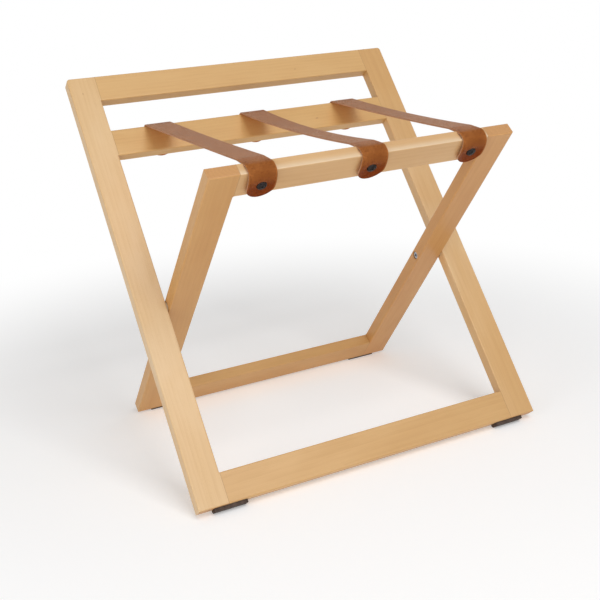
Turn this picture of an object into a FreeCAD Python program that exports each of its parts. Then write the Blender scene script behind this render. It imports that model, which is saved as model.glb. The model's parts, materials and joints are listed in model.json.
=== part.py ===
import FreeCAD, Part
import math
import os

import Sketcher
from FreeCAD import Placement, Rotation, Vector

# Folding luggage bench: an outer frame that leans back and carries the backrest, an inner frame that
# leans forward, two pivot bolts and three leather straps. Millimetres and degrees, +Z up, +Y backward.
# Each frame has a flat frame of its own: X along the rails, Y through the thickness, Z up the members,
# with its origin on the pivot axis.

SIZES = {
    "overall_width": 580,
    "member_width": 45,
    "member_thickness": 19,
    "stile_length": 700,
    "leg_length": 600,
    "pivot_height": 300,
    "hand_gap": 55,
    "lean_angle": 38.7,
    "side_gap": 2,
    "edge_round": 2,
    "corner_round": 5,
    "dowel_diameter": 8,
    "dowel_length": 30,
    "dowel_spacing": 22,
    "glue_gap": 0.1,
    "dowel_end_gap": 1,
    "bolt_diameter": 6,
    "bolt_head_diameter": 12,
    "bolt_head_height": 4,
    "bolt_head_round": 0.8,
    "bolt_recess": 1.5,
    "bolt_recess_clearance": 0.5,
    "hex_socket_width": 5,
    "hex_socket_depth": 2.8,
    "running_clearance": 0.05,
    "bolt_end_length": 18,
    "insert_diameter": 10,
    "insert_length": 20,
    "washer_diameter": 16,
    "washer_play": 0.1,
    "strap_width": 42,
    "strap_thickness": 2.5,
    "strap_leg_gap": 7,
    "strap_clearance": 0.3,
    "strap_end_drop": 2,
    "stud_rise": 3,
    "strap_pinch": 2.2,
    "fold_reach": 6,
    "fold_rise": 12.7,
    "fold_radius": 9,
    "crease_radius": 15,
    "left_strap_sag": 1,
    "middle_strap_sag": 8,
    "right_strap_sag": 2,
    "stud_head_diameter": 15,
    "stud_head_height": 3,
    "stud_head_round": 2,
    "stud_seat_clearance": 0.15,
    "stud_shank_diameter": 3.5,
    "stud_shank_length": 17,
    "pad_length": 50,
    "pad_depth": 15,
    "pad_thickness": 5,
    "pad_inset": 24,
    "pad_contact": 3.5,
}

doc = FreeCAD.newDocument("luggage_bench")
sheet = doc.addObject("Spreadsheet::Sheet", "Sizes")
for row, (alias, value) in enumerate(SIZES.items(), 1):
    sheet.set(f"A{row}", alias)
    sheet.set(f"B{row}", str(value))
    sheet.setAlias(f"B{row}", alias)
doc.recompute()

NODES = []


def size(alias):
    return float(sheet.get(alias))


# ---------------------------------------------------------------- sketch and feature helpers


def formula(text):
    """Turns names in braces into cells of the sheet: "{a} / 2" becomes "Sizes.a / 2"."""
    return text.replace("{", "Sizes.").replace("}", "")


def origin_plane(body, role):
    return next(f for f in body.Origin.OriginFeatures if f.Role == role)


def new_body(name):
    body = doc.addObject("PartDesign::Body", name)
    body.Label = name
    return body


def sketch_on(body, role, offset="0"):
    """A sketch on an origin plane of the body, moved along the plane's normal by offset."""
    sketch = body.newObject("Sketcher::SketchObject", body.Name + "_sketch")
    sketch.AttachmentSupport = [(origin_plane(body, role), "")]
    sketch.MapMode = "FlatFace"
    sketch.setExpression("AttachmentOffset.Base.z", formula(offset))
    return sketch


def bind(sketch, constraint, name, expression):
    index = sketch.addConstraint(constraint)
    sketch.renameConstraint(index, name)
    sketch.setExpression("Constraints." + name, formula(expression))


def pin_point(sketch, geometry, point, name, x, y):
    """Holds a point of the sketch at x, y from the sketch's origin."""
    start = sketch.getPoint(geometry, point)
    bind(sketch, Sketcher.Constraint("DistanceX", -1, 1, geometry, point, start.x), name + "_x", x)
    bind(sketch, Sketcher.Constraint("DistanceY", -1, 1, geometry, point, start.y), name + "_y", y)


def add_polygon(sketch, corners):
    """A closed outline of straight lines through corners, each an (x, y) pair of expressions."""
    count = len(corners)
    seeds = [Vector(math.cos(2 * math.pi * i / count), math.sin(2 * math.pi * i / count), 0)
             for i in range(count)]
    for i in range(count):
        sketch.addGeometry(Part.LineSegment(seeds[i], seeds[(i + 1) % count]), False)
    for i in range(count):
        sketch.addConstraint(Sketcher.Constraint("Coincident", i, 2, (i + 1) % count, 1))
    for i, (x, y) in enumerate(corners):
        pin_point(sketch, i, 1, f"corner{i}", x, y)


def add_rectangle(sketch, left, right, bottom, top):
    add_polygon(sketch, [(left, bottom), (right, bottom), (right, top), (left, top)])


def add_circle(sketch, diameter, x="0", y="0"):
    circle = sketch.addGeometry(Part.Circle(Vector(1, 1, 0), Vector(0, 0, 1), 1), False)
    bind(sketch, Sketcher.Constraint("Diameter", circle, 2.0), f"diameter{circle}", diameter)
    pin_point(sketch, circle, 3, f"centre{circle}", x, y)


def pad(body, sketch, length, symmetric=False, reverse=False):
    feature = body.newObject("PartDesign::Pad", body.Name + "_pad")
    feature.Profile = sketch
    feature.setExpression("Length", formula(length))
    feature.SideType = "Symmetric" if symmetric else "One side"
    feature.Reversed = reverse
    doc.recompute()
    return feature


def pocket(body, sketch, depth, reverse=False):
    """Cuts the sketch into the body, against its normal unless reversed, and checks that it cut."""
    before = body.Shape.Volume
    feature = body.newObject("PartDesign::Pocket", body.Name + "_pocket")
    feature.Profile = sketch
    feature.setExpression("Length", formula(depth))
    feature.Reversed = reverse
    doc.recompute()
    if not feature.Shape.Volume < before:
        raise RuntimeError(f"{feature.Name} cut nothing")
    return feature


def mirror(body, features, role):
    feature = body.newObject("PartDesign::Mirrored", body.Name + "_mirror")
    feature.Originals = features
    feature.MirrorPlane = (origin_plane(body, role), [""])
    body.Tip = feature
    doc.recompute()
    return feature


def fillet(body, keep_edge, radius):
    """Rounds each edge of the body for which keep_edge(edge) is true."""
    base = body.Tip
    names = [f"Edge{i}" for i, edge in enumerate(base.Shape.Edges, 1) if keep_edge(edge)]
    feature = body.newObject("PartDesign::Fillet", body.Name + "_round")
    feature.Base = (base, names)
    feature.setExpression("Radius", formula(radius))
    doc.recompute()
    return feature


def runs_along(edge, axis):
    """Whether a straight edge is parallel to axis."""
    if not isinstance(edge.Curve, Part.Line):
        return False
    return abs(edge.Curve.Direction.dot(axis)) > 0.999


X_AXIS, Y_AXIS, Z_AXIS = Vector(1, 0, 0), Vector(0, 1, 0), Vector(0, 0, 1)


def near(value, target):
    return abs(value - target) < 1e-4


# ---------------------------------------------------------------- where the frames stand

width = size("member_width")
thickness = size("member_thickness")
pivot_up = size("pivot_height")
lean = math.radians(size("lean_angle"))
sine, cosine = math.sin(lean), math.cos(lean)

# The pads' lowest corners are planed off level with the floor, over the width pad_contact.
pivot_z = ((pivot_up + size("pad_thickness")) * cosine + thickness / 2 * sine
           - size("pad_contact") * sine * cosine)

OUTER = Placement(Vector(0, 0, pivot_z), Rotation(X_AXIS, -size("lean_angle")))
INNER = Placement(Vector(0, 0, pivot_z), Rotation(X_AXIS, size("lean_angle")))
UNTURNED = Rotation()
TURNED = Rotation(Z_AXIS, 180)

outer_half = size("overall_width") / 2
inner_half = outer_half - width - size("side_gap")
stile_x = outer_half - width / 2
leg_x = inner_half - width / 2

# The rails' top edges, up the members from the foot.
foot_rail_top = width
strap_rail_top = size("stile_length") - width - size("hand_gap")
front_rail_top = size("leg_length")


def place(node, frame, where=Vector(), turn=UNTURNED):
    node.Placement = frame.multiply(Placement(where, turn))
    NODES.append(node)


# ---------------------------------------------------------------- timber members


def upright(name, length, rail_tops, bore):
    """A stile or a leg, foot at Z 0, with the rails' dowel holes in its inner side, +X.
    rail_tops are the heights of the rails' top edges, lowest first."""
    body = new_body(name)
    section = sketch_on(body, "XY_Plane")
    add_rectangle(section, "-{member_width} / 2", "{member_width} / 2",
                  "-{member_thickness} / 2", "{member_thickness} / 2")
    pad(body, section, length)
    if bore == "insert":
        top = body.Shape.BoundBox.ZMax
        fillet(body, lambda e: runs_along(e, Y_AXIS) and near(e.CenterOfMass.x, -width / 2)
               and near(e.CenterOfMass.z, top), "{corner_round}")
    # The inner side stays sharp where a rail meets it, so that the joints are flush.
    fillet(body, lambda e: near(abs(e.CenterOfMass.y), thickness / 2)
           and not near(e.CenterOfMass.x, width / 2), "{edge_round}")
    for below, above in zip(rail_tops, rail_tops[1:]):
        round_inner_edges(body, below, above)
    holes = sketch_on(body, "YZ_Plane", "{member_width} / 2")
    for top in rail_tops:
        for side in ("-", "+"):
            add_circle(holes, "{dowel_diameter} + 2 * {glue_gap}", "0",
                       f"{top} - {{member_width}} / 2 {side} {{dowel_spacing}} / 2")
    pocket(body, holes, "{dowel_length} / 2 + {dowel_end_gap}")
    if bore == "insert":
        bore_side(body, "{insert_diameter} + 2 * {glue_gap}", "{insert_length} + {dowel_end_gap}")
    else:
        bore_side(body, "{bolt_diameter} + 2 * {running_clearance}", "{member_width}")
        bore_side(body, "{bolt_head_diameter} + 2 * {bolt_recess_clearance}",
                  "{bolt_head_height} + {bolt_recess}")
    return body


def round_inner_edges(body, rail_top, next_rail_top):
    """Rounds both long edges of the inner side between one rail and the next."""
    waste = sketch_on(body, "XY_Plane", rail_top)
    arc = waste.addGeometry(Part.ArcOfCircle(Part.Circle(Vector(0, 0, 0), Vector(0, 0, 1), 1),
                                             0, math.pi / 2), False)
    across = waste.addGeometry(Part.LineSegment(Vector(0, 1, 0), Vector(1, 1, 0)), False)
    down = waste.addGeometry(Part.LineSegment(Vector(1, 1, 0), Vector(1, 0, 0)), False)
    for first, first_end, second, second_end in ((arc, 2, across, 1), (across, 2, down, 1),
                                                 (down, 2, arc, 1)):
        waste.addConstraint(Sketcher.Constraint("Coincident", first, first_end, second, second_end))
    waste.addConstraint(Sketcher.Constraint("Horizontal", across))
    waste.addConstraint(Sketcher.Constraint("Vertical", down))
    pin_point(waste, across, 2, "corner", "{member_width} / 2", "{member_thickness} / 2")
    waste.addConstraint(Sketcher.Constraint("Vertical", arc, 3, arc, 2))
    waste.addConstraint(Sketcher.Constraint("Horizontal", arc, 3, arc, 1))
    bind(waste, Sketcher.Constraint("Radius", arc, 1.0), "round", "{edge_round}")
    cut = pocket(body, waste, f"{next_rail_top} - {{member_width}} - ({rail_top})", reverse=True)
    mirror(body, [cut], "XZ_Plane")


def bore_side(body, diameter, depth):
    hole = sketch_on(body, "YZ_Plane", "{member_width} / 2")
    add_circle(hole, diameter, "0", "{pivot_height}")
    pocket(body, hole, depth)


def rail(name, length, with_studs=False):
    """A rail, bottom edge at Z 0, with dowel holes in both ends and screw holes in its face at -Y."""
    body = new_body(name)
    section = sketch_on(body, "YZ_Plane")
    add_rectangle(section, "-{member_thickness} / 2", "{member_thickness} / 2", "0", "{member_width}")
    pad(body, section, length, symmetric=True)
    fillet(body, lambda e: runs_along(e, X_AXIS), "{edge_round}")
    holes = sketch_on(body, "YZ_Plane", f"({length}) / 2")
    for side in ("-", "+"):
        add_circle(holes, "{dowel_diameter} + 2 * {glue_gap}", "0",
                   f"{{member_width}} / 2 {side} {{dowel_spacing}} / 2")
    cuts = [pocket(body, holes, "{dowel_length} / 2 + {dowel_end_gap}")]
    if with_studs:
        for x in (STRAP_PITCH, "0"):
            pilot = sketch_on(body, "XZ_Plane", "{member_thickness} / 2")
            add_circle(pilot, "{stud_shank_diameter} + 2 * {running_clearance}", x,
                       "{strap_width} / 2 - {strap_end_drop} + {stud_rise}")
            cuts.append(pocket(body, pilot, "{member_thickness} - {edge_round}"))
    mirror(body, cuts[:2], "YZ_Plane")
    return body


STILE_RAIL_TOPS = ["{member_width}", "{stile_length} - {member_width} - {hand_gap}", "{stile_length}"]
LEG_RAIL_TOPS = ["{member_width}", "{leg_length}"]
OUTER_RAIL = "{overall_width} - 2 * {member_width}"
INNER_RAIL = "{overall_width} - 4 * {member_width} - 2 * {side_gap}"
STRAP_PITCH = f"({INNER_RAIL}) / 2 - {{strap_leg_gap}} - {{strap_width}} / 2"

for side, x, turn in (("left", -1, UNTURNED), ("right", 1, TURNED)):
    stile = upright("stile_" + side, "{stile_length}", STILE_RAIL_TOPS, "insert")
    place(stile, OUTER, Vector(x * stile_x, 0, -pivot_up), turn)
    leg = upright("leg_" + side, "{leg_length}", LEG_RAIL_TOPS, "bolt")
    place(leg, INNER, Vector(x * leg_x, 0, -pivot_up), turn)


def rail_seat(top):
    return Vector(0, 0, top - width - pivot_up)


place(rail("top_rail", OUTER_RAIL), OUTER, rail_seat(size("stile_length")))
place(rail("rear_strap_rail", OUTER_RAIL, with_studs=True), OUTER, rail_seat(strap_rail_top), TURNED)
place(rail("stile_foot_rail", OUTER_RAIL), OUTER, rail_seat(foot_rail_top))
place(rail("front_strap_rail", INNER_RAIL, with_studs=True), INNER, rail_seat(front_rail_top))
place(rail("leg_foot_rail", INNER_RAIL), INNER, rail_seat(foot_rail_top))


# ---------------------------------------------------------------- dowels, in one node per frame


def dowels(name, frame, joint_x, rail_tops):
    pins = []
    for x in (-joint_x, joint_x):
        for top in rail_tops:
            for offset in (-size("dowel_spacing") / 2, size("dowel_spacing") / 2):
                pin = doc.addObject("Part::Cylinder", f"{name}_pin")
                pin.setExpression("Radius", formula("{dowel_diameter} / 2"))
                pin.setExpression("Height", formula("{dowel_length}"))
                middle = Vector(x - size("dowel_length") / 2, 0,
                                top - width / 2 + offset - pivot_up)
                pin.Placement = Placement(middle, Rotation(Y_AXIS, 90))
                pins.append(pin)
    group = doc.addObject("Part::Compound", name)
    group.Label = name
    group.Links = pins
    doc.recompute()
    place(group, frame)


dowels("stile_dowels", OUTER, outer_half - width, (foot_rail_top, strap_rail_top, size("stile_length")))
dowels("leg_dowels", INNER, inner_half - width, (foot_rail_top, front_rail_top))


# ---------------------------------------------------------------- pivots


def pivot_bolt(name):
    """Head at +Z, underside at Z 0, plain shank below."""
    body = new_body(name)
    head = sketch_on(body, "XY_Plane")
    add_circle(head, "{bolt_head_diameter}")
    pad(body, head, "{bolt_head_height}")
    top = body.Shape.BoundBox.ZMax
    fillet(body, lambda e: near(e.CenterOfMass.z, top), "{bolt_head_round}")
    shank = sketch_on(body, "XY_Plane")
    add_circle(shank, "{bolt_diameter}")
    pad(body, shank, "{member_width} - {bolt_head_height} - {bolt_recess} + {side_gap} + {bolt_end_length}",
        reverse=True)
    socket = sketch_on(body, "XY_Plane", "{bolt_head_height}")
    add_polygon(socket, [(f"{{hex_socket_width}} / sqrt(3) * cos({angle} deg)",
                          f"{{hex_socket_width}} / sqrt(3) * sin({angle} deg)")
                         for angle in range(0, 360, 60)])
    pocket(body, socket, "{hex_socket_depth}")
    return body


def ring(name, outside, inside, length):
    body = new_body(name)
    section = sketch_on(body, "XY_Plane")
    add_circle(section, outside)
    add_circle(section, inside)
    pad(body, section, length)
    return body


head_x = inner_half - width + size("bolt_head_height") + size("bolt_recess")
for side, sign in (("left", -1), ("right", 1)):
    inward = Rotation(Y_AXIS, -sign * 90)
    outward = Rotation(Y_AXIS, sign * 90)
    place(pivot_bolt("pivot_bolt_" + side), OUTER, Vector(sign * head_x, 0, 0), inward)
    place(ring("pivot_washer_" + side, "{washer_diameter}",
               "{bolt_diameter} + 2 * {running_clearance}", "{side_gap} - {washer_play}"),
          OUTER, Vector(sign * (outer_half - width), 0, 0), inward)
    place(ring("pivot_insert_" + side, "{insert_diameter}",
               "{bolt_diameter} + 2 * {running_clearance}", "{insert_length}"),
          OUTER, Vector(sign * (outer_half - width), 0, 0), outward)


# ---------------------------------------------------------------- leather straps

strap_half = size("strap_thickness") / 2
strap_lift = size("strap_clearance") + strap_half
face_out = thickness / 2 + strap_lift
crease_out = -thickness / 2 - strap_lift * math.tan(lean / 2)
rear_up = strap_rail_top - pivot_up
front_up = front_rail_top - pivot_up
end_below = width + size("strap_end_drop")
round_below = end_below - size("strap_width") / 2
stud_below = round_below - size("stud_rise")
pinch_up = size("stud_head_diameter") / 2 + size("strap_pinch")


def front(out, up):
    """A point of the side view at up on the inner frame, out from the middle of its thickness."""
    return Vector(0, -up * sine - out * cosine, pivot_z + up * cosine - out * sine)


def rear(out, up):
    point = front(out, up)
    return Vector(0, -point.y, point.z)


def rounded_path(corners):
    """A wire of straight runs and tangent arcs through corners, each a (point, radius) pair."""
    edges = []
    last = corners[0][0]
    for i in range(1, len(corners) - 1):
        point, radius = corners[i]
        back = (corners[i - 1][0] - point).normalize()
        ahead = (corners[i + 1][0] - point).normalize()
        half_angle = back.getAngle(ahead) / 2
        reach = radius / math.tan(half_angle)
        start = point + back * reach
        finish = point + ahead * reach
        bisector = (back + ahead).normalize()
        middle = point + bisector * (radius / math.sin(half_angle) - radius)
        edges.append(Part.LineSegment(last, start).toShape())
        edges.append(Part.Arc(start, middle, finish).toShape())
        last = finish
    edges.append(Part.LineSegment(last, corners[-1][0]).toShape())
    return Part.Wire(edges)


SAG_SHARE = 0.8  # how much of the span between the rails is curved by the sag


def strap_path(sag):
    """The strap's middle line, from its rear end, over both rails, to its front end."""
    wrap_radius = size("edge_round") + strap_lift
    rear_crease = rear(crease_out, rear_up + strap_lift)
    front_crease = front(crease_out, front_up + strap_lift)
    half_span = (rear_crease - front_crease).Length / 2
    lowest = (rear_crease + front_crease) / 2 - Vector(0, 0, sag)
    sag_radius = half_span * SAG_SHARE / math.tan(math.atan2(sag, half_span))
    return rounded_path([
        (rear(face_out, rear_up - end_below), 0),
        (rear(face_out, rear_up + strap_lift), wrap_radius),
        (rear_crease, wrap_radius),
        (lowest, sag_radius),
        (front_crease, size("crease_radius")),
        (front(face_out + size("fold_reach"), front_up + size("fold_rise")), size("fold_radius")),
        (front(face_out, front_up - stud_below + pinch_up), size("crease_radius")),
        (front(face_out, front_up - end_below), 0),
    ])


def end_trim(frame, facing, rail_up):
    """What is cut off a square strap end to make it round, and its screw hole, on a frame's face.
    facing is -1 for the face at -Y of the frame and 1 for the face at +Y."""
    round_up, stud_up = rail_up - round_below, rail_up - stud_below
    reach = facing * (thickness / 2 + 4 * size("strap_thickness"))
    radius = size("strap_width") / 2
    spare = size("strap_thickness")
    waste = Part.makeBox(2 * (radius + spare), abs(reach), radius + spare,
                         Vector(-radius - spare, min(reach, 0), round_up - radius - spare))
    round_end = Part.makeCylinder(radius, abs(reach), Vector(0, 0, round_up), Vector(0, facing, 0))
    hole = Part.makeCylinder(size("stud_shank_diameter") / 2 + size("strap_clearance"), abs(reach),
                             Vector(0, 0, stud_up), Vector(0, facing, 0))
    trim = waste.cut(round_end).fuse(hole)
    trim.Placement = frame
    return trim


def strap(name, x, sag):
    path = strap_path(sag)
    start = rear(face_out, rear_up - end_below)
    across = rear(face_out + strap_half, rear_up - end_below) - start
    along = Vector(size("strap_width") / 2, 0, 0)
    section = Part.makePolygon([start + along + across, start - along + across,
                                start - along - across, start + along - across,
                                start + along + across])
    solid = path.makePipeShell([section], True, False)
    expected = path.Length * size("strap_width") * size("strap_thickness")
    if abs(solid.Volume / expected - 1) > 0.01:
        raise RuntimeError(f"{name} has the wrong volume")
    solid = solid.cut(end_trim(OUTER, 1, rear_up))
    solid = solid.cut(end_trim(INNER, -1, front_up))
    node = doc.addObject("Part::Feature", name)
    node.Label = name
    node.Shape = solid
    node.Placement = Placement(Vector(x, 0, 0), UNTURNED)
    NODES.append(node)
    print(f"{name}: {path.Length:.1f} mm of strap")


pitch = inner_half - width - size("strap_leg_gap") - size("strap_width") / 2
strap("strap_left", -pitch, size("left_strap_sag"))
strap("strap_middle", 0, size("middle_strap_sag"))
strap("strap_right", pitch, size("right_strap_sag"))


# ---------------------------------------------------------------- strap screws, one node per rail


def stud(name):
    """Domed head above Z 0, shank below."""
    body = new_body(name)
    head = sketch_on(body, "XY_Plane")
    add_circle(head, "{stud_head_diameter}")
    pad(body, head, "{stud_head_height}")
    top = body.Shape.BoundBox.ZMax
    fillet(body, lambda e: near(e.CenterOfMass.z, top), "{stud_head_round}")
    shank = sketch_on(body, "XY_Plane")
    add_circle(shank, "{stud_shank_diameter}")
    pad(body, shank, "{stud_shank_length}", reverse=True)
    return body


def stud_group(name, frame, facing, stud_up):
    seat = thickness / 2 + size("strap_clearance") + size("strap_thickness") + size("stud_seat_clearance")
    studs = []
    for x in (-pitch, 0, pitch):
        screw = stud(name + "_screw")
        screw.Placement = Placement(Vector(x, facing * seat, stud_up), Rotation(X_AXIS, -facing * 90))
        studs.append(screw)
    group = doc.addObject("Part::Compound", name)
    group.Label = name
    group.Links = studs
    doc.recompute()
    place(group, frame)


stud_group("front_strap_studs", INNER, -1, front_up - stud_below)
stud_group("rear_strap_studs", OUTER, 1, rear_up - stud_below)


# ---------------------------------------------------------------- foot pads


def foot_pad(name):
    """Top face at Z 0, its low edge at +Y planed level with the floor."""
    body = new_body(name)
    profile = sketch_on(body, "YZ_Plane")
    inner = "{member_thickness} / 2 - {pad_depth}"
    outer = "{member_thickness} / 2"
    add_polygon(profile, [
        (inner, "0"),
        (inner, "-{pad_thickness}"),
        (outer + " - {pad_contact} * cos({lean_angle} * 1 deg)", "-{pad_thickness}"),
        (outer, "-{pad_thickness} + {pad_contact} * sin({lean_angle} * 1 deg)"),
        (outer, "0"),
    ])
    pad(body, profile, "{pad_length}", symmetric=True)
    return body


for end, frame, half, turn in (("front", OUTER, outer_half, UNTURNED), ("rear", INNER, inner_half, TURNED)):
    pad_x = half - size("pad_inset") - size("pad_length") / 2
    for side, x in (("left", -pad_x), ("right", pad_x)):
        place(foot_pad(f"foot_pad_{end}_{side}"), frame, Vector(x, 0, -pivot_up), turn)

doc.recompute()

# ---------------------------------------------------------------- centre on the footprint and write

boxes = [node.Shape.optimalBoundingBox(False, False) for node in NODES]
setback = -(min(box.YMin for box in boxes) + max(box.YMax for box in boxes)) / 2
for node in NODES:
    node.Placement = Placement(Vector(0, setback, 0), UNTURNED).multiply(node.Placement)
doc.recompute()

for thing in doc.Objects:
    if "Invalid" in thing.State or "Error" in thing.State:
        raise RuntimeError(f"{thing.Label} failed")
os.makedirs("parts", exist_ok=True)
for node in NODES:
    if node.Shape.isNull() or not node.Shape.isValid():
        raise RuntimeError(f"{node.Label} has no valid shape")
    node.Shape.exportStep(os.path.join("parts", node.Label + ".step"))
print(f"pivot axis at y {setback:.3f}, z {pivot_z:.3f}")
print(f"{len(NODES)} nodes")
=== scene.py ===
import json
import math

import bmesh
import bpy
from mathutils import Matrix, Vector


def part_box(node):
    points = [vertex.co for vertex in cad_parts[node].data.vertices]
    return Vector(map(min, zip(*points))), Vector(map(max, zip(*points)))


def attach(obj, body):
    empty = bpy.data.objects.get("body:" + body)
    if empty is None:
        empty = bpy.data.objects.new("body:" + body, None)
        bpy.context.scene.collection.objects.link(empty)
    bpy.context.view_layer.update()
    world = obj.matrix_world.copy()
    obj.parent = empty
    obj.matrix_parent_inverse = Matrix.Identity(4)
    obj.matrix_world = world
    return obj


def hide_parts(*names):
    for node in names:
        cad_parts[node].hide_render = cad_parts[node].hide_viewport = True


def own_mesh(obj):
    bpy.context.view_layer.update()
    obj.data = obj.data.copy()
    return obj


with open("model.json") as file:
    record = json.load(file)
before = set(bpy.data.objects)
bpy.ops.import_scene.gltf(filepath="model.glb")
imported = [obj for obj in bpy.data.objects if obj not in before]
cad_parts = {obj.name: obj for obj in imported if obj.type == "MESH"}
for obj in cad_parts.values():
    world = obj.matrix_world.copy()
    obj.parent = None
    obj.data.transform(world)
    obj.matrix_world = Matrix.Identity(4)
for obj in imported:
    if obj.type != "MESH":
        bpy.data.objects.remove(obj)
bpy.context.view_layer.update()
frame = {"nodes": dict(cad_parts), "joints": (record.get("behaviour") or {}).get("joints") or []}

# Folding luggage bench in metres, +Z up, +Y towards the backrest. The back frame leans back and
# the front frame leans forward, and both turn on the pivot axis. A frame's own directions are
# across (X), out of its middle plane and up from the pivot.

FOLD = next(joint for joint in frame["joints"] if joint["name"] == "fold")
PIVOT = Vector(FOLD["pos_m"])
LEAN = math.radians(38.7)
SINE, COSINE = math.sin(LEAN), math.cos(LEAN)

MEMBER_THICKNESS = 0.019
RAIL_FACE = MEMBER_THICKNESS / 2
RAIL_EDGE_ROUND = 0.002
FOOT_TO_PIVOT = 0.300
RAIL_TOP = 0.600 - FOOT_TO_PIVOT
BACK_RAIL_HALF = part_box("top_rail")[1].x
FRONT_RAIL_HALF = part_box("front_strap_rail")[1].x

STRAP_HALF = 0.0210
STRAP_LENGTH = 0.504
STRAP_THICKNESS = 0.0021
STRAP_GAP = 0.0003
STRAP_EDGE_ROUND = 0.0005
STRAP_END_LEVEL = 0.553 - FOOT_TO_PIVOT
SCREW_LEVEL = 0.577 - FOOT_TO_PIVOT


def mix(a, b, share):
    return a + (b - a) * share


def link(piece):
    bpy.context.collection.objects.link(piece)
    return piece


# ---------------------------------------------------------------- shader helpers


def colour(text):
    """A web colour as linear RGBA."""
    channels = [int(text[i:i + 2], 16) / 255 for i in (1, 3, 5)]
    return [c / 12.92 if c <= 0.04045 else ((c + 0.055) / 1.055) ** 2.4 for c in channels] + [1]


class Finish:
    """A material being built round one Principled shader."""

    def __init__(self, name):
        self.material = bpy.data.materials.new(name)
        self.material.use_nodes = True
        self.nodes = self.material.node_tree.nodes
        self.links = self.material.node_tree.links
        self.shader = self.nodes["Principled BSDF"]

    def add(self, kind, sockets=(), **settings):
        """A node with its settings, its inputs set from (input, value or output) pairs."""
        node = self.nodes.new("ShaderNode" + kind)
        for name, value in settings.items():
            setattr(node, name, value)
        for socket, value in sockets:
            self.put(node.inputs[socket], value)
        return node

    def put(self, socket, value):
        if isinstance(value, bpy.types.NodeSocket):
            self.links.new(value, socket)
        else:
            socket.default_value = value

    def set(self, **sockets):
        for name, value in sockets.items():
            self.put(self.shader.inputs[name.replace("_", " ")], value)

    def math(self, operation, *values, clamp=False):
        node = self.add("Math", enumerate(values), operation=operation, use_clamp=clamp)
        return node.outputs[0]

    def product(self, first, second):
        return self.math("MULTIPLY", first, second)

    def parts(self, vector):
        """The X, Y and Z of a vector."""
        return self.add("SeparateXYZ", [(0, vector)]).outputs

    def ramp(self, value, low, high, out_low=0.0, out_high=1.0):
        """out_low up to low and out_high from high, eased in between."""
        pairs = [(0, value), (1, low), (2, high), (3, out_low), (4, out_high)]
        return self.add("MapRange", pairs, interpolation_type="SMOOTHSTEP").outputs[0]

    def blend(self, share, first, second, way="MIX"):
        node = self.add("Mix", [(0, share), (6, first), (7, second)],
                        data_type="RGBA", blend_type=way)
        return node.outputs[2]

    def stretch(self, vector, scale):
        return self.add("Mapping", [(0, vector), (3, scale)]).outputs[0]

    def noise(self, vector, scale=1.0, detail=2.0, roughness=0.5):
        node = self.add("TexNoise", [("Vector", vector), ("Scale", scale), ("Detail", detail),
                                     ("Roughness", roughness)])
        return node.outputs[0]

    def cells(self, vector, scale=1.0, feature="F1"):
        """Distances in a pattern of irregular cells."""
        node = self.add("TexVoronoi", [("Vector", vector), ("Scale", scale)], feature=feature)
        return node.outputs["Distance"]

    def bump(self, height, strength, depth, under=None):
        pairs = [("Strength", strength), ("Distance", depth), ("Height", height)]
        if under is not None:
            pairs.append(("Normal", under))
        return self.add("Bump", pairs).outputs[0]


# ---------------------------------------------------------------- beech

KNOT_STRETCH = 0.35


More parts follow.
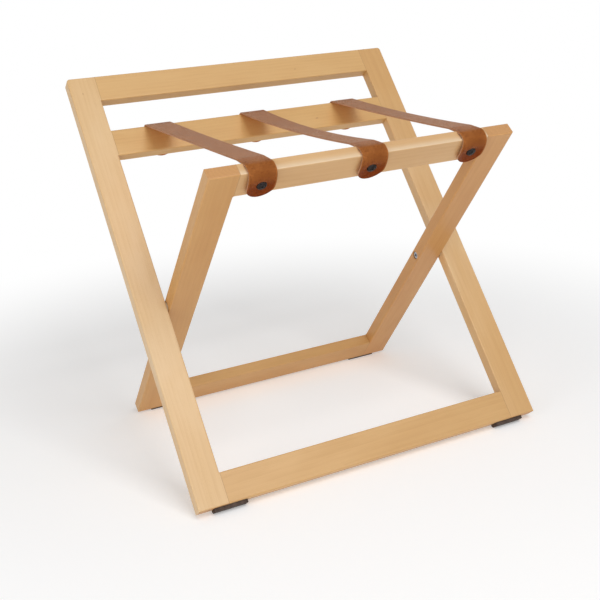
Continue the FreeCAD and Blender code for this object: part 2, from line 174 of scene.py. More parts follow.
def beech(name, turn, grain, light, dark, pith, joint_at=None, darker_up=0, painted_edge_highlight=None,
          knots=()):
    """Clear-lacquered beech.

    turn is the frame's lean and grain the member's long axis in the frame. pith is where the
    tree's centre ran beside the member: across, through, and a start along it. joint_at is how
    far from the middle a rail's ends are. darker_up is how fast the dark tone grows above the
    pivot, in shares a metre. painted_edge_highlight is where a painted highlight makes the
    rail's top face paler along its front edge, where light catches it: how far back from the
    frame's middle plane, and how far up from the pivot. knots are pin knots: a point and a size."""
    finish = Finish(name)
    coords = finish.add("TexCoord")
    to_frame = Matrix.Rotation(-turn, 3, "X")
    upright = Matrix.Identity(3) if grain == "Z" else Matrix.Rotation(math.pi / 2, 3, "Y")
    to_wood = upright @ to_frame
    place = finish.add("Mapping", [(0, coords.outputs["Object"]),
                                   (1, Vector(pith) - to_wood @ PIVOT),
                                   (2, to_wood.to_euler())]).outputs[0]

    rings = finish.add("TexWave", [("Vector", finish.stretch(place, (1, 1, 0.035))),
                                   ("Scale", 41.0), ("Distortion", 21.0), ("Detail", 2.0),
                                   ("Detail Scale", 0.5), ("Detail Roughness", 0.45)],
                       wave_type="RINGS", rings_direction="Z", wave_profile="SAW").outputs[1]
    streaks = finish.noise(finish.stretch(place, (60, 60, 2.4)), detail=4.0, roughness=0.6)
    drift = finish.noise(finish.stretch(place, (13, 13, 2.8)), detail=1.0)
    clouds = finish.noise(finish.stretch(place, (34, 34, 13)), detail=2.0, roughness=0.45)
    fibres = finish.noise(finish.stretch(place, (900, 900, 22)), detail=3.0, roughness=0.65)
    flecks = finish.ramp(finish.cells(finish.stretch(place, (1250, 1250, 300))),
                         0.10, 0.26, 1, 0)

    up, through, height = finish.parts(place)
    above_pivot = finish.math("MULTIPLY_ADD", height, darker_up, -darker_up * pith[2])
    above_pivot = finish.math("MAXIMUM", above_pivot, 0.0)
    depth = finish.math("ADD", finish.ramp(drift, 0.22, 0.78, 0.2, 0.8), above_pivot, clamp=True)
    body = finish.blend(depth, colour(light), colour(dark))
    body = finish.blend(finish.ramp(clouds, 0.35, 0.7, 0, 0.4), body, colour(dark))
    body = finish.blend(finish.ramp(streaks, 0.35, 0.72, 0, 0.18), body, colour(dark))
    late_wood = finish.product(finish.ramp(rings, 0.3, 1.0, 0, 0.10),
                               finish.ramp(clouds, 0.3, 0.6, 0.25, 1))
    for share in (late_wood, finish.ramp(fibres, 0.42, 0.75, 0, 0.13)):
        body = finish.blend(share, body, colour("#D9BC9A"), "MULTIPLY")
    fleck = finish.product(flecks, finish.ramp(streaks, 0.4, 0.65))
    body = finish.blend(finish.product(fleck, 0.30), body, colour("#9A6436"))

    # A painted highlight: the rail's top face is drawn paler towards its front edge, where the
    # light catches that edge.
    if painted_edge_highlight is not None:
        # A rail's grain runs across, so here up and through are those of the frame.
        edge_back, edge_up = pith[1] + painted_edge_highlight[0], pith[0] + painted_edge_highlight[1]
        near_front = finish.ramp(through, edge_back, edge_back + 0.012, 0.55, 0)
        near_top = finish.ramp(up, edge_up - 0.0013, edge_up - 0.0004)
        body = finish.blend(finish.product(near_front, near_top), body, colour("#E9D5B8"))

    # Cut across the fibres the wood drinks more lacquer, and shows its rings and pores.
    along = to_wood.transposed() @ Vector((0, 0, 1))
    facing = finish.add("VectorMath", [(0, coords.outputs["Normal"]), (1, along)],
                        operation="DOT_PRODUCT").outputs["Value"]
    end_grain = finish.ramp(finish.math("ABSOLUTE", facing), 0.6, 0.9)
    pores = finish.ramp(finish.cells(place, 1500), 0.1, 0.35, 1, 0)
    cut = finish.blend(finish.ramp(rings, 0.2, 1.0, 0.1, 0.25),
                       colour("#CB965C"), colour("#B0783F"))
    cut = finish.blend(finish.product(pores, 0.5), cut, colour("#7F5028"))
    body = finish.blend(end_grain, body, cut)

    # Pin knots are drawn out along the grain.
    for point, size in knots:
        centre = finish.stretch(place, (1, 1, KNOT_STRETCH))
        there = (to_wood @ (Vector(point) - PIVOT) + Vector(pith)) * Vector((1, 1, KNOT_STRETCH))
        gap = finish.add("VectorMath", [(0, centre), (1, there)],
                         operation="DISTANCE").outputs["Value"]
        dark_spot = finish.ramp(gap, size * 0.3, size, 0.75, 0)
        body = finish.blend(dark_spot, body, colour("#A36E3F"))

    if joint_at is not None:
        # The glue line where a rail's end meets the upright.
        from_middle = finish.math("ABSOLUTE", finish.parts(coords.outputs["Object"])[0])
        line = finish.ramp(from_middle, joint_at - 0.0008, joint_at - 0.0002)
        body = finish.blend(finish.product(line, 0.55), body, colour("#7B4A22"))

    relief = finish.bump(fibres, 0.10, 0.0001)
    relief = finish.bump(rings, 0.03, 0.00015, under=relief)
    rough = finish.ramp(fibres, 0.2, 0.8, 0.40, 0.52)
    finish.set(Base_Color=body, Roughness=rough, Normal=relief)
    finish.set(Coat_Weight=0.12, Coat_Roughness=0.2)
    return finish.material


# member: (frame lean, grain axis, light tone, dark tone, pith)
MEMBERS = {
    "stile_left": (-LEAN, "Z", "#EACDA4", "#DAB27B", (0.012, 0.075, 1.93)),
    "stile_right": (-LEAN, "Z", "#E9CA9C", "#D0A266", (-0.021, -0.062, 1.50)),
    "top_rail": (-LEAN, "X", "#DBB277", "#D4A76A", (0.016, 0.088, 2.13)),
    "rear_strap_rail": (-LEAN, "X", "#DFB87C", "#CD9E5E", (-0.014, 0.071, 3.41)),
    "stile_foot_rail": (-LEAN, "X", "#DCB37B", "#CDA065", (0.024, -0.083, 4.06)),
    "leg_left": (LEAN, "Z", "#DBAD6F", "#C99455", (0.019, -0.069, 5.22)),
    "leg_right": (LEAN, "Z", "#DBA96C", "#C99153", (-0.017, 0.078, 6.35)),
    "front_strap_rail": (LEAN, "X", "#DEB683", "#D0A46E", (-0.022, -0.091, 7.18)),
    "leg_foot_rail": (LEAN, "X", "#D9AD71", "#C69456", (0.013, 0.066, 8.44)),
}
RAIL_ENDS = {
    "top_rail": BACK_RAIL_HALF,
    "rear_strap_rail": BACK_RAIL_HALF,
    "stile_foot_rail": BACK_RAIL_HALF,
    "front_strap_rail": FRONT_RAIL_HALF,
    "leg_foot_rail": FRONT_RAIL_HALF,
}
DARKER_UP = {"stile_left": 1.3, "stile_right": 1.3}
# Where a painted highlight lies along a rail's top-front edge: how far back from the frame's
# middle plane, and how far up from the pivot.
PAINTED_EDGE_HIGHLIGHTS = {"front_strap_rail": (-RAIL_FACE, RAIL_TOP)}
# member: (where a pin knot shows, how wide)
PIN_KNOTS = {
    "rear_strap_rail": [((0.1125, 0.1352, 0.4617), 0.0013)],
    "top_rail": [((0.1073, 0.1978, 0.5399), 0.0009)],
    "stile_left": [((-0.2709, 0.1958, 0.5373), 0.0008),
                   ((-0.2952, -0.0457, 0.2359), 0.0010)],
}


# ---------------------------------------------------------------- the other finishes

PEBBLES_A_METRE = 540


def tanned_leather(name):
    """Pebbled brown leather. The attribute strap_flat holds the strap laid flat: across, along
    and how deep in the leather."""
    finish = Finish(name)
    flat = finish.add("Attribute", attribute_name="strap_flat").outputs["Vector"]
    across, along, depth = finish.parts(flat)
    across = finish.math("ABSOLUTE", across)
    half_length = STRAP_LENGTH / 2
    from_middle = finish.math("ABSOLUTE", finish.math("SUBTRACT", along, half_length))

    # The noise's colour, taken as a vector, makes the pebbles uneven.
    waver = finish.add("TexNoise", [("Vector", flat), ("Scale", 420.0)]).outputs["Color"]
    waver = finish.stretch(waver, (0.0014, 0.0014, 0.0014))
    warped = finish.add("VectorMath", [(0, flat), (1, waver)], operation="ADD").outputs[0]
    pebbles = finish.cells(warped, PEBBLES_A_METRE, feature="SMOOTH_F1")
    creases = finish.cells(warped, PEBBLES_A_METRE, feature="DISTANCE_TO_EDGE")
    cloud = finish.noise(flat, 38, detail=3.0)
    mottle = finish.noise(flat, 260, detail=4.0, roughness=0.65)

    tone = finish.blend(finish.ramp(cloud, 0.3, 0.7), colour("#B5703A"), colour("#9E5C2C"))
    tone = finish.blend(finish.ramp(mottle, 0.35, 0.75, 0, 0.5), tone, colour("#A0602C"))
    tone = finish.blend(finish.ramp(creases, 0.02, 0.16, 0.8, 0), tone, colour("#5E3014"))
    # The span is drawn paler with a painted sheen, standing in for the grey-pink gloss its top
    # takes at a low angle. The ends are darkened: painted shade on the front fold's down-facing
    # lower part, and burnish where the screws clamp them.
    painted_span_sheen = finish.ramp(from_middle, 0.160, 0.188, 0.2, 0)
    tone = finish.blend(painted_span_sheen, tone, colour("#E1A781"))
    burnish_and_painted_shade = finish.ramp(from_middle, half_length - 0.052, half_length - 0.018)
    tone = finish.blend(burnish_and_painted_shade, tone, colour("#D8A650"), "MULTIPLY")
    rubbed = finish.ramp(across, STRAP_HALF - 0.0026, STRAP_HALF - 0.0010, 0, 0.4)
    tone = finish.blend(rubbed, tone, colour("#B4763F"))

    fuzz = finish.noise(flat, 900, detail=3.0, roughness=0.7)
    flesh = finish.blend(finish.ramp(fuzz, 0.3, 0.7), colour("#E08A34"), colour("#C87426"))
    edge = finish.blend(finish.ramp(fuzz, 0.3, 0.7), colour("#C59A80"), colour("#AE8064"))
    into_edge = finish.ramp(depth, -0.0005, -0.0002, 1, 0)
    into_flesh = finish.ramp(depth, -STRAP_THICKNESS + 0.0001, -STRAP_THICKNESS + 0.0004, 1, 0)
    tone = finish.blend(into_edge, tone, edge)
    tone = finish.blend(into_flesh, tone, flesh)

    rough = finish.ramp(mottle, 0.3, 0.7, 0.5, 0.62)
    rough = finish.math("ADD", rough, finish.product(into_edge, 0.3), clamp=True)
    relief = finish.bump(finish.ramp(creases, 0.0, 0.22), 0.5, 0.00025)
    relief = finish.bump(pebbles, 0.25, 0.0002, under=relief)
    relief = finish.bump(fuzz, 0.2, 0.00012, under=relief)
    finish.set(Base_Color=tone, Roughness=rough, Normal=relief)
    finish.set(Specular_IOR_Level=0.04, Sheen_Weight=0.6, Sheen_Roughness=0.22)
    finish.set(Sheen_Tint=(1.0, 0.9, 0.8, 1))
    return finish.material


def plated_steel(name, bright, dull, rough_low, rough_high):
    """Turned steel under a thin, slightly cloudy plating."""
    finish = Finish(name)
    coords = finish.add("TexCoord").outputs["Object"]
    film = finish.noise(coords, 310, detail=4.0, roughness=0.6)
    turning = finish.noise(coords, 2400, detail=2.0)
    tone = finish.blend(finish.ramp(film, 0.3, 0.7), colour(bright), colour(dull))
    finish.set(Base_Color=tone, Roughness=finish.ramp(film, 0.25, 0.75, rough_low, rough_high),
               Normal=finish.bump(turning, 0.12, 0.00005))
    finish.set(Metallic=1.0)
    return finish.material


def moulded(name, light, dark, grit, rough):
    """Nylon or rubber with a fine moulded grain."""
    finish = Finish(name)
    coords = finish.add("TexCoord").outputs["Object"]
    grain = finish.noise(coords, grit, detail=4.0, roughness=0.6)
    scuff = finish.noise(coords, grit / 12, detail=3.0)
    tone = finish.blend(finish.ramp(scuff, 0.35, 0.7), colour(light), colour(dark))
    dullness = finish.ramp(scuff, 0.3, 0.7, rough - 0.08, rough + 0.08)
    finish.set(Base_Color=tone, Roughness=dullness, Normal=finish.bump(grain, 0.3, 0.0001))
    return finish.material


LEATHER = tanned_leather("tanned_leather")
BLACK_STEEL = plated_steel("blackened_steel", "#3C3736", "#262222", 0.26, 0.42)
# A finish, and the nodes it goes on.
FINISHES = [
    (plated_steel("zinc_bolt_steel", "#C4C7CB", "#A3A6AA", 0.25, 0.4),
     ("pivot_bolt_left", "pivot_bolt_right")),
    (plated_steel("insert_steel", "#B9A86F", "#96854F", 0.3, 0.45),
     ("pivot_insert_left", "pivot_insert_right")),
    (moulded("washer_nylon", "#CDBFA6", "#BDAE94", 2600, 0.45),
     ("pivot_washer_left", "pivot_washer_right")),
    (moulded("pad_rubber", "#4C3B30", "#3B2D25", 1400, 0.75),
     ("foot_pad_front_left", "foot_pad_front_right", "foot_pad_rear_left",
      "foot_pad_rear_right")),
    (beech("beech_dowels", -LEAN, "X", "#DDB37C", "#CB9A5F", (0.05, 0.05, 9.3)),
     ("stile_dowels", "leg_dowels")),
]


def coat(node, material):
    """Gives a CAD node its finish."""
    for material_slot in frame["nodes"][node].material_slots:
        material_slot.material = material


for member, choice in MEMBERS.items():
    coat(member, beech("beech_" + member, *choice, joint_at=RAIL_ENDS.get(member),
                       darker_up=DARKER_UP.get(member, 0),
                       painted_edge_highlight=PAINTED_EDGE_HIGHLIGHTS.get(member), knots=PIN_KNOTS.get(member, ())))
for material, nodes in FINISHES:
    for node in nodes:
        coat(node, material)


# ---------------------------------------------------------------- leather straps


def on_front(out, up):
    """The point of the side view, (y, z), that is so far out and up on the front frame."""
    return Vector((PIVOT.y - up * SINE - out * COSINE, PIVOT.z + up * COSINE - out * SINE))


def on_back(out, up):
    """The same on the back frame. On both, out is away from the straps' span."""
    point = on_front(out, up)
    return Vector((2 * PIVOT.y - point.x, point.y))


def curve_through(points, step):
    """Points about step apart on a smooth line through points."""
    padded = [2 * points[0] - points[1], *points, 2 * points[-1] - points[-2]]
    line = []
    for before, a, b, after in zip(padded, padded[1:], padded[2:], padded[3:]):
        count = max(2, math.ceil((b - a).length / step))
        for i in range(count):
            t = i / count
            line.append(0.5 * (2 * a + (b - before) * t
                               + (2 * before - 5 * a + 4 * b - after) * t * t
                               + (3 * a - before - 3 * b + after) * t ** 3))
    return line + [points[-1]]


def rounded_corner(before, corner, after, radius, steps=10):
    """The arc that rounds a corner of the side view."""
    back, ahead = (before - corner).normalized(), (after - corner).normalized()
    half = math.acos(max(-1, min(1, back.dot(ahead)))) / 2
    start = corner + back * radius / math.tan(half)
    finish = corner + ahead * radius / math.tan(half)
    centre = corner + (back + ahead).normalized() * radius / math.sin(half)
    arc = []
    for i in range(steps + 1):
        spoke = mix(start - centre, finish - centre, i / steps)
        arc.append(centre + spoke.normalized() * radius)
    return arc


def evenly(line, count):
    """count points at equal distances along a line of close points, and the line's length."""
    reach = [0]
    for a, b in zip(line, line[1:]):
        reach.append(reach[-1] + (b - a).length)
    points, k = [], 0
    for i in range(count):
        at = reach[-1] * i / (count - 1)
        while k < len(line) - 2 and reach[k + 1] < at:
            k += 1
        share = (at - reach[k]) / max(reach[k + 1] - reach[k], 1e-9)
        points.append(mix(line[k], line[k + 1], share))
    return points, reach[-1]


# The front fold's outer face, as (out of the rail's middle plane, up from the foot) in
# millimetres, at the strap's left edge, its middle and its right edge. The screw holds the
# middle down.
FOLD_LEFT = [(-4, 602.9), (3, 603.5), (8.6, 602.9), (12.2, 599.3), (14.2, 593), (15.6, 586),
             (16.4, 578), (16.2, 570), (15.4, 560), (14.8, 553)]
FOLD_MIDDLE = [(-4, 603.5), (3, 604.6), (9.0, 603.5), (13.3, 599.6), (15.6, 593.2),
               (15.6, 587.2), (14.4, 582.6), (13.8, 577), (13.7, 565), (13.9, 553)]
FOLD_RIGHT = [(-4, 603.8), (3, 604.9), (9.3, 603.6), (13.8, 599.4), (16.2, 593), (17.5, 586),
              (17.6, 578), (17.0, 570), (15.8, 560), (15.0, 553)]


def fold_points(side, loose):
    """The fold's outer face at side, from -1 at the left edge to 1 at the right edge."""
    edge = FOLD_LEFT if side < 0 else FOLD_RIGHT
    share = abs(side) ** 1.7
    points = []
    for (edge_out, edge_up), (out, up) in zip(edge, FOLD_MIDDLE):
        lift = (edge_out - out) * share * loose
        height = mix(up, edge_up, share) / 1000 - FOOT_TO_PIVOT
        points.append(on_front((out + lift) / 1000, height))
    return points


WALL_STEPS = 20
SPAN_STEPS = 60
FOLD_STEP = 0.0012
REAR_END_LIFT = 0.0018


def strap_line(side, lie):
    """The strap's outer face at one distance across it, from its rear end to its front end."""
    sag = lie["sag"] * (1 + lie["twist"] * side)
    skin = STRAP_GAP + STRAP_THICKNESS
    corner_radius = RAIL_EDGE_ROUND + skin
    low = on_back(RAIL_FACE + skin, STRAP_END_LEVEL + REAR_END_LIFT)
    back_top = on_back(RAIL_FACE + skin, RAIL_TOP + skin)
    rear_crease = on_back(-RAIL_FACE - skin * math.tan(LEAN / 2), RAIL_TOP + skin)
    front_crease = on_front(-RAIL_FACE - skin * math.tan(LEAN / 2), RAIL_TOP + skin)
    line = [mix(low, back_top, i / WALL_STEPS) for i in range(WALL_STEPS - 2)]
    line += rounded_corner(low, back_top, rear_crease, corner_radius)
    # From corner to corner the strap hangs a little, lowest in the middle.
    span = []
    for i in range(SPAN_STEPS + 1):
        t = i / SPAN_STEPS
        dip = sag * (1 - (2 * t - 1) ** 2)
        span.append(mix(rear_crease, front_crease, t) - Vector((0, dip)))
    # A corner at the rear and the fold at the front replace the span's first and last steps.
    line += rounded_corner(back_top, rear_crease, span[6], corner_radius)
    line += span[4:-3]
    fold = [span[-4], *fold_points(side, lie["loose"])]
    line += curve_through(fold, FOLD_STEP)[4:]
    return line


# Along the strap: (share of its length, half its width). Pulled tight, it is narrowest in the
# middle.
WIDTHS = [(0, 0.0213), (0.12, 0.0214), (0.5, 0.0201), (0.84, 0.0205), (1, 0.0204)]


def eased(knots, share):
    """The value at share of a line that eases from knot to knot."""
    for (start, low), (finish, high) in zip(knots, knots[1:]):
        if share <= finish:
            t = max(0, (share - start) / (finish - start))
            return mix(low, high, t * t * (3 - 2 * t))
    return knots[-1][1]


def strap_grid(lie):
    """Rows of points on the strap's outer face, where each lies on the flat strap, and the
    strap's length."""
    columns, rows, end_rows, fine = 21, 300, 11, 1200
    tracks, lengths = [], []
    for j in range(columns):
        points, length = evenly(strap_line(2 * j / (columns - 1) - 1, lie), fine)
        tracks.append(points)
        lengths.append(length)
    length = lengths[columns // 2]
    middles = [(0, lie["rear"]), (0.1, lie["rear"]), (0.84, lie["front"]), (1, lie["tip"])]
    rear_round, tip_round = WIDTHS[0][1], WIDTHS[-1][1]

    def at(across, distance):
        """The point at across, -1 to 1, and distance along the strap."""
        j = min(max((across + 1) / 2 * (columns - 1), 0), columns - 1 - 1e-6)
        i = min(max(distance / length * (fine - 1), 0), fine - 1 - 1e-6)
        left, low = int(j), int(i)
        first = mix(tracks[left][low], tracks[left][low + 1], i - low)
        second = mix(tracks[left + 1][low], tracks[left + 1][low + 1], i - low)
        side = mix(first, second, j - left)
        x = eased(middles, distance / length) + across * eased(WIDTHS, distance / length)
        return Vector((x, side.x, side.y))

    grid, flat = [], []

    def add_row(places):
        grid.append([at(across, distance) for across, distance in places])
        flat.append([(across * STRAP_HALF, distance) for across, distance in places])

    sides = [math.sin(math.pi / 2 * (2 * j / (columns - 1) - 1)) for j in range(columns)]
    sides = [mix(2 * j / (columns - 1) - 1, side, 0.5) for j, side in enumerate(sides)]
    # A half-round end: the square of rows and columns is drawn out onto the half disc.
    for v in [1 - i / end_rows for i in range(end_rows)]:
        add_row([(u * math.sqrt(1 - v * v / 2), rear_round * (1 - v * math.sqrt(1 - u * u / 2)))
                 for u in sides])
    for i in range(rows + 1):
        add_row([(u, mix(rear_round, length - tip_round, i / rows)) for u in sides])
    for v in [(i + 1) / end_rows for i in range(end_rows)]:
        add_row([(u * math.sqrt(1 - v * v / 2),
                  length - tip_round * (1 - v * math.sqrt(1 - u * u / 2))) for u in sides])
    return grid, flat, length


def grid_normals(grid):
    """The outward normal at each point of the grid."""
    rows, columns = len(grid), len(grid[0])
    middle = columns // 2
    normals = []
    for i in range(rows):
        row = []
        for j in range(columns):
            along = grid[min(i + 1, rows - 1)][j] - grid[max(i - 1, 0)][j]
            across = grid[i][min(j + 1, columns - 1)] - grid[i][max(j - 1, 0)]
            # The first and last rows are one line on the end's rim, so they look one row in.
            if i in (0, rows - 1):
                inner = 1 if i == 0 else rows - 2
                across = grid[inner][middle + 1] - grid[inner][middle - 1]
                along = (grid[1][j] - grid[0][j]) if i == 0 else (grid[-1][j] - grid[-2][j])
            row.append(along.cross(across).normalized())
        normals.append(row)
    return normals


EDGE_STEPS = [math.radians(angle) for angle in (30, 60, 90)]
REAR_WRAP_LENGTH = 0.072
FRONT_FOLD_LENGTH = 0.0765


def strap_pieces(name, lie):
    """The strap's rear wrap, span and front fold as closed meshes that meet in flat sections,
    and the middles of the two sections."""
    grid, flat, length = strap_grid(lie)
    normals = grid_normals(grid)
    rows, columns = len(grid), len(grid[0])
    border = ([(0, j) for j in range(columns)] + [(i, columns - 1) for i in range(1, rows)]
              + [(rows - 1, j) for j in range(columns - 2, -1, -1)]
              + [(i, 0) for i in range(rows - 2, 0, -1)])

    # The rim, from the outer face over the rounded edge, down the wall and onto the inner face.
    rings = [(STRAP_EDGE_ROUND * (1 - math.sin(a)), STRAP_EDGE_ROUND * (1 - math.cos(a)))
             for a in EDGE_STEPS]
    rings += [(inset, STRAP_THICKNESS - deep) for inset, deep in reversed(rings)]
    points, places, index = [], [], {}

    def add_point(key, point, place):
        index[key] = len(points)
        points.append(point)
        places.append(place)

    inward = {}
    for k, (i, j) in enumerate(border):
        before, after = border[k - 1], border[(k + 1) % len(border)]
        run = grid[after[0]][after[1]] - grid[before[0]][before[1]]
        inward[(i, j)] = normals[i][j].cross(run).normalized()
    middle = grid[rows // 2][columns // 2]
    if inward[(rows // 2, 0)].dot(middle - grid[rows // 2][0]) < 0:
        inward = {key: -value for key, value in inward.items()}

    for i in range(rows):
        for j in range(columns):
            here, normal = grid[i][j], normals[i][j]
            across, along = flat[i][j]
            if (i, j) in inward:
                here = here + inward[(i, j)] * STRAP_EDGE_ROUND
            add_point(("outer", i, j), here, (across, along, 0))
            add_point(("inner", i, j), here - normal * STRAP_THICKNESS,
                      (across, along, -STRAP_THICKNESS))
    for i, j in border:
        across, along = flat[i][j]
        for ring, (inset, deep) in enumerate(rings):
            add_point((ring, i, j), grid[i][j] + inward[(i, j)] * inset - normals[i][j] * deep,
                      (across, along, -deep))

    def row_at(distance):
        return min(range(rows), key=lambda i: abs(flat[i][columns // 2][1] - distance))

    parts = {"rear_wrap": [], "span": [], "front_fold": []}
    first_cut, second_cut = row_at(REAR_WRAP_LENGTH), row_at(length - FRONT_FOLD_LENGTH)

    def part_of(row):
        if row < first_cut:
            return parts["rear_wrap"]
        return parts["span"] if row < second_cut else parts["front_fold"]

    for i in range(rows - 1):
        for j in range(columns - 1):
            corners = [(i, j), (i + 1, j), (i + 1, j + 1), (i, j + 1)]
            part_of(i).append([index[("outer", *c)] for c in corners])
            part_of(i).append([index[("inner", *c)] for c in reversed(corners)])
    layers = ["outer", *range(len(rings)), "inner"]
    for k, start in enumerate(border):
        finish = border[(k + 1) % len(border)]
        for upper, lower in zip(layers, layers[1:]):
            part_of(min(start[0], finish[0])).append(
                [index[(upper, *start)], index[(upper, *finish)],
                 index[(lower, *finish)], index[(lower, *start)]])
    for row, (ends, starts) in ((first_cut, ("rear_wrap", "span")),
                                (second_cut, ("span", "front_fold"))):
        section = [index[("outer", row, j)] for j in range(columns)]
        section += [index[(ring, row, columns - 1)] for ring in range(len(rings))]
        section += [index[("inner", row, j)] for j in range(columns - 1, -1, -1)]
        section += [index[(ring, row, 0)] for ring in range(len(rings) - 1, -1, -1)]
        parts[ends].append(section)
        parts[starts].append(section[::-1])

    made = {}
    for part, faces in parts.items():
        made[part] = make_mesh(f"{name}_{part}", points, places, faces)
    section_at = [sum((grid[row][j] for j in range(columns)), Vector()) / columns
                  for row in (first_cut, second_cut)]
    return made, section_at


def make_mesh(name, points, places, faces):
    """A closed smooth mesh of the faces, with the attribute strap_flat."""
    used = sorted({v for face in faces for v in face})
    number = {v: i for i, v in enumerate(used)}
    mesh = bpy.data.meshes.new(name)
    mesh.from_pydata([points[v] for v in used], [],
                     [[number[v] for v in face] for face in faces])
    attribute = mesh.attributes.new("strap_flat", "FLOAT_VECTOR", "POINT")
    attribute.data.foreach_set("vector", [c for v in used for c in places[v]])
    work = bmesh.new()
    work.from_mesh(mesh)
    bmesh.ops.recalc_face_normals(work, faces=work.faces)
    work.to_mesh(mesh)
    work.free()
    mesh.shade_smooth()
    mesh.set_sharp_from_angle(angle=math.radians(50))
    mesh.materials.append(LEATHER)
    return link(bpy.data.objects.new(name, mesh))


# How each strap lies: the middle of its width at the rear rail, at the front rail and at its
# tip, its sag, how much more its right edge sags, and how far its fold's edges stand off.
STRAPS = {
    "strap_left": {"rear": -0.1676, "front": -0.1684, "tip": -0.1640,
                   "sag": 0.0010, "twist": 0.3, "loose": 0.9},
    "strap_middle": {"rear": -0.0008, "front": 0.0032, "tip": 0.0060,
                     "sag": 0.0072, "twist": 0.17, "loose": 1.0},
    "strap_right": {"rear": 0.1716, "front": 0.1706, "tip": 0.1752,
                    "sag": 0.0028, "twist": 0.3, "loose": 0.9},
}
for strap, lie in STRAPS.items():
    made, (anchor, cut) = strap_pieces(strap, lie)
    for piece in made.values():
        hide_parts(strap)
    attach(made["rear_wrap"], "back_frame")
    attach(made["span"], "back_frame")
    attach(made["front_fold"], "front_frame")
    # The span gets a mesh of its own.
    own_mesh(made["span"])


# ---------------------------------------------------------------- strap screws in cup washers

SCREW_PITCH = 0.169
SCREW_ROW_SHIFT = 0.0050
CUP_LIFT = 0.0002


def mesh_from(work, name):
    """The finished mesh of a bmesh, with its faces pointing outwards."""
    bmesh.ops.recalc_face_normals(work, faces=work.faces)
    mesh = bpy.data.meshes.new(name)
    work.to_mesh(mesh)
    work.free()
    return mesh


def turned(profile, segments=48):
    """A closed solid turned about Z from (radius, height) points, axis to axis."""
    work = bmesh.new()
    rings = []
    for radius, height in profile:
        if radius == 0:
            rings.append([work.verts.new((0, 0, height))])
        else:
            rings.append([work.verts.new((radius * math.cos(a), radius * math.sin(a), height))
                          for a in (2 * math.pi * k / segments for k in range(segments))])
    for low, high in zip(rings, rings[1:]):
        for k in range(segments):
            following = (k + 1) % segments
            corners = [low[k % len(low)], low[following % len(low)],
                       high[following % len(high)], high[k % len(high)]]
            work.faces.new(list(dict.fromkeys(corners)))
    return mesh_from(work, "turned")


def cross_cutter():
    """A tapered cross that leaves a screwdriver recess."""
    work = bmesh.new()
    levels = []
    for height, reach, half_width in ((0.0021, 0.0009, 0.0003), (0.0050, 0.0029, 0.0007)):
        arm = [(reach, -half_width), (reach, half_width), (half_width, half_width)]
        outline = [Matrix.Rotation(turn * math.pi / 2, 2) @ Vector(point)
                   for turn in range(4) for point in arm]
        levels.append([work.verts.new((x, y, height)) for x, y in outline])
    low, high = levels
    work.faces.new(low[::-1])
    work.faces.new(high)
    for k in range(len(low)):
        following = (k + 1) % len(low)
        work.faces.new((low[k], low[following], high[following], high[k]))
    return mesh_from(work, "cross_cutter")


def mesh_of(piece):
    """The piece's mesh with its modifiers made real."""
    return bpy.data.meshes.new_from_object(
        piece.evaluated_get(bpy.context.evaluated_depsgraph_get()))


def strap_screw():
    """One screw in its cup washer, seat at Z 0."""
    millimetres = [(0, -16), (0.5, -16), (1.7, -13), (1.75, -0.4), (7.2, -0.4), (7.5, -0.2),
                   (7.5, 0.4), (7.3, 1.2), (6.8, 2.1), (6.1, 2.7), (5.3, 2.95), (4.7, 2.8),
                   (4.45, 2.4), (4.35, 2.1), (4.25, 2.4), (3.9, 2.9), (3.0, 3.4), (1.6, 3.75),
                   (0, 3.85)]
    solid = turned([(radius / 1000, height / 1000) for radius, height in millimetres])
    screw = link(bpy.data.objects.new("screw", solid))
    cutter = link(bpy.data.objects.new("cross_cutter", cross_cutter()))
    recess = screw.modifiers.new("recess", "BOOLEAN")
    recess.object = cutter
    recess.solver = "EXACT"
    mesh = mesh_of(screw)
    bpy.data.objects.remove(screw)
    bpy.data.objects.remove(cutter)
    mesh.shade_smooth()
    mesh.set_sharp_from_angle(angle=math.radians(38))
    return mesh


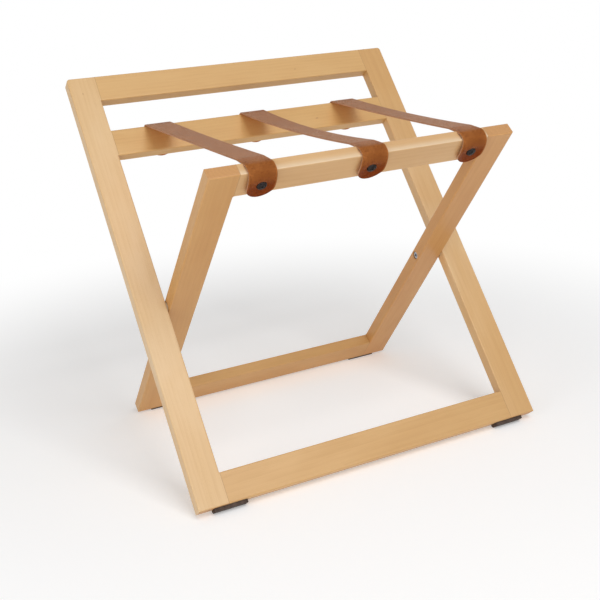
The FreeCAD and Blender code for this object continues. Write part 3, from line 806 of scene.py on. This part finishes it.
def screw_row_tree():
    """Copies of a screw along X, each turned by its own angle."""
    tree = bpy.data.node_groups.new("screw_row", "GeometryNodeTree")
    face = tree.interface
    face.new_socket("Geometry", in_out="INPUT", socket_type="NodeSocketGeometry")
    for label, kind in (("Pitch", "NodeSocketFloat"), ("Seat", "NodeSocketVector"),
                        ("Tilt", "NodeSocketFloat"), ("Seed", "NodeSocketInt"),
                        ("Finish", "NodeSocketMaterial")):
        face.new_socket(label, in_out="INPUT", socket_type=kind)
    face.new_socket("Geometry", in_out="OUTPUT", socket_type="NodeSocketGeometry")
    nodes, links = tree.nodes, tree.links
    given, result = nodes.new("NodeGroupInput"), nodes.new("NodeGroupOutput")

    line = nodes.new("GeometryNodeMeshLine")
    line.inputs["Count"].default_value = len(STRAPS)
    step = nodes.new("ShaderNodeCombineXYZ")
    links.new(given.outputs["Pitch"], step.inputs[0])
    links.new(step.outputs[0], line.inputs["Offset"])
    start = nodes.new("ShaderNodeVectorMath")
    start.operation = "SUBTRACT"
    links.new(given.outputs["Seat"], start.inputs[0])
    links.new(step.outputs[0], start.inputs[1])
    links.new(start.outputs[0], line.inputs["Start Location"])

    spin = nodes.new("FunctionNodeRandomValue")
    spin.data_type = "FLOAT"
    # Of the sockets with one name, these are the float ones.
    spin.inputs[2].default_value = -math.pi
    spin.inputs[3].default_value = math.pi
    links.new(given.outputs["Seed"], spin.inputs["Seed"])
    about_axis = nodes.new("ShaderNodeCombineXYZ")
    links.new(spin.outputs[1], about_axis.inputs[2])
    tilt = nodes.new("ShaderNodeCombineXYZ")
    links.new(given.outputs["Tilt"], tilt.inputs[0])

    copies = nodes.new("GeometryNodeInstanceOnPoints")
    links.new(line.outputs[0], copies.inputs["Points"])
    links.new(given.outputs["Geometry"], copies.inputs["Instance"])
    links.new(tilt.outputs[0], copies.inputs["Rotation"])
    turn = nodes.new("GeometryNodeRotateInstances")
    links.new(copies.outputs[0], turn.inputs["Instances"])
    links.new(about_axis.outputs[0], turn.inputs["Rotation"])
    turn.inputs["Local Space"].default_value = True

    real = nodes.new("GeometryNodeRealizeInstances")
    links.new(turn.outputs[0], real.inputs[0])
    paint = nodes.new("GeometryNodeSetMaterial")
    links.new(real.outputs[0], paint.inputs["Geometry"])
    links.new(given.outputs["Finish"], paint.inputs["Material"])
    links.new(paint.outputs[0], result.inputs[0])
    return tree


SCREW_ROW = screw_row_tree()
SCREW = strap_screw()


def screw_row(name, body, seat, tilt, seed, replaced):
    """A screw for each strap, as one plain mesh that rides on a body."""
    piece = link(bpy.data.objects.new(name, SCREW.copy()))
    modifier = piece.modifiers.new("screw_row", "NODES")
    modifier.node_group = SCREW_ROW
    values = {"Pitch": SCREW_PITCH, "Seat": seat, "Tilt": tilt, "Seed": seed,
              "Finish": BLACK_STEEL}
    for item in SCREW_ROW.interface.items_tree:
        if item.in_out == "INPUT" and item.name in values:
            modifier[item.identifier] = values[item.name]
    mesh = mesh_of(piece)
    piece.modifiers.clear()
    piece.data = mesh
    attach(piece, body)
    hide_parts(replaced)


# The front screws sit on the fold's middle line, where it passes their level.
FRONT_SEAT = FOLD_MIDDLE[7][0] / 1000 + CUP_LIFT
REAR_SEAT = RAIL_FACE + STRAP_GAP + STRAP_THICKNESS + CUP_LIFT
for side, body, point, tilt, seed in (
        ("front", "front_frame", on_front(FRONT_SEAT, SCREW_LEVEL), math.pi / 2 + LEAN, 3),
        ("rear", "back_frame", on_back(REAR_SEAT, SCREW_LEVEL), -math.pi / 2 - LEAN, 8)):
    screw_row(side + "_strap_cup_screws", body, Vector((SCREW_ROW_SHIFT, point.x, point.y)),
              tilt, seed, side + "_strap_studs")


# ---------------------------------------------------------------- floor, light and camera

FLOOR_TONE = (0.86, 0.86, 0.86, 1)
FLOOR_GLOW = 0.22
FLOOR_GLOW_TONE = (1, 0.93, 0.87, 1)
FLOOR_LIFT = 0.27
SHADED_TO, WHITE_FROM = 0.45, 1.1


def floor():
    """A pale floor that keeps the bench's shadow and is white to the eye further out."""
    finish = Finish("studio_floor")
    finish.set(Base_Color=FLOOR_TONE, Roughness=0.9, Specular_IOR_Level=0.0)
    finish.set(Emission_Color=FLOOR_GLOW_TONE, Emission_Strength=FLOOR_GLOW)
    rays = finish.add("LightPath")
    seen = finish.math("MAXIMUM", rays.outputs["Is Camera Ray"], rays.outputs["Is Glossy Ray"])
    seen = finish.math("MAXIMUM", seen, rays.outputs["Is Transmission Ray"])
    away = finish.add("VectorMath", [(0, finish.add("TexCoord").outputs["Object"])],
                      operation="LENGTH").outputs["Value"]
    near = finish.add("AddShader", [
        (0, finish.add("BsdfDiffuse", [(0, FLOOR_TONE)]).outputs[0]),
        (1, finish.add("Emission", [("Strength", FLOOR_LIFT)]).outputs[0])]).outputs[0]
    white = finish.add("Emission").outputs[0]
    far = finish.ramp(away, SHADED_TO, WHITE_FROM)
    shown = finish.add("MixShader", [(0, far), (1, near), (2, white)]).outputs[0]
    lit = finish.shader.outputs[0]
    whole = finish.add("MixShader", [(0, seen), (1, lit), (2, shown)]).outputs[0]
    finish.put(finish.nodes["Material Output"].inputs["Surface"], whole)
    bpy.ops.mesh.primitive_plane_add(size=30, location=(0, 0, 0))
    ground = bpy.context.object
    ground.name = "studio_floor"
    ground.data.materials.append(finish.material)


def sky(strength):
    """Even light all round, and a white background."""
    world = bpy.data.worlds.new("studio")
    bpy.context.scene.world = world
    world.use_nodes = True
    nodes, links = world.node_tree.nodes, world.node_tree.links
    background = nodes["Background"]
    background.inputs["Color"].default_value = (1, 1, 1, 1)
    rays = nodes.new("ShaderNodeLightPath")
    seen = rays.outputs["Is Camera Ray"]
    for ray in ("Is Glossy Ray", "Is Transmission Ray"):
        either = nodes.new("ShaderNodeMath")
        either.operation = "MAXIMUM"
        links.new(seen, either.inputs[0])
        links.new(rays.outputs[ray], either.inputs[1])
        seen = either.outputs[0]
    level = nodes.new("ShaderNodeMapRange")
    links.new(seen, level.inputs[0])
    level.inputs[3].default_value = strength
    level.inputs[4].default_value = 1
    links.new(level.outputs[0], background.inputs["Strength"])


def softbox(name, place, width, height, power):
    """A soft lamp that faces the bench."""
    lamp = bpy.data.lights.new(name, "AREA")
    lamp.shape = "RECTANGLE"
    lamp.size, lamp.size_y, lamp.energy = width, height, power
    box = link(bpy.data.objects.new(name, lamp))
    box.location = place
    box.rotation_euler = (LAMPS_FACE - Vector(place)).to_track_quat("-Z", "Y").to_euler()


def aimed_camera(place, yaw, pitch, roll, lens, shift_up):
    """A camera turned from +Y to the right by yaw, up by pitch and over by roll, in degrees."""
    data = bpy.data.cameras.new("camera")
    data.lens = lens
    data.sensor_width = 36
    data.shift_y = shift_up
    camera = link(bpy.data.objects.new("camera", data))
    camera.rotation_mode = "XYZ"
    yaw, pitch, roll = math.radians(yaw), math.radians(pitch), math.radians(roll)
    ahead = Vector((math.sin(yaw) * math.cos(pitch), math.cos(yaw) * math.cos(pitch),
                    math.sin(pitch)))
    level_right = Vector((math.cos(yaw), -math.sin(yaw), 0))
    level_up = level_right.cross(ahead)
    right = math.cos(roll) * level_right + math.sin(roll) * level_up
    axes = Matrix((right, right.cross(ahead), -ahead)).transposed().to_4x4()
    camera.matrix_world = Matrix.Translation(place) @ axes
    return camera


LAMPS_FACE = Vector((0, 0, 0.3))

floor()
sky(strength=0.35)
softbox("key", (0.25, -1.8, 2.5), width=1.6, height=1.6, power=35)
softbox("fill", (-1.4, -2.4, 1.5), width=1.8, height=1.6, power=9)
softbox("side", (-2.4, -0.8, 0.9), width=1.4, height=1.4, power=12)
bpy.context.scene.camera = aimed_camera((-0.747952, -1.439588, 0.763075), yaw=27.452,
                                        pitch=-15.497, roll=-2.629, lens=63.838,
                                        shift_up=-70 / 600)
bpy.context.scene.view_settings.view_transform = "Standard"
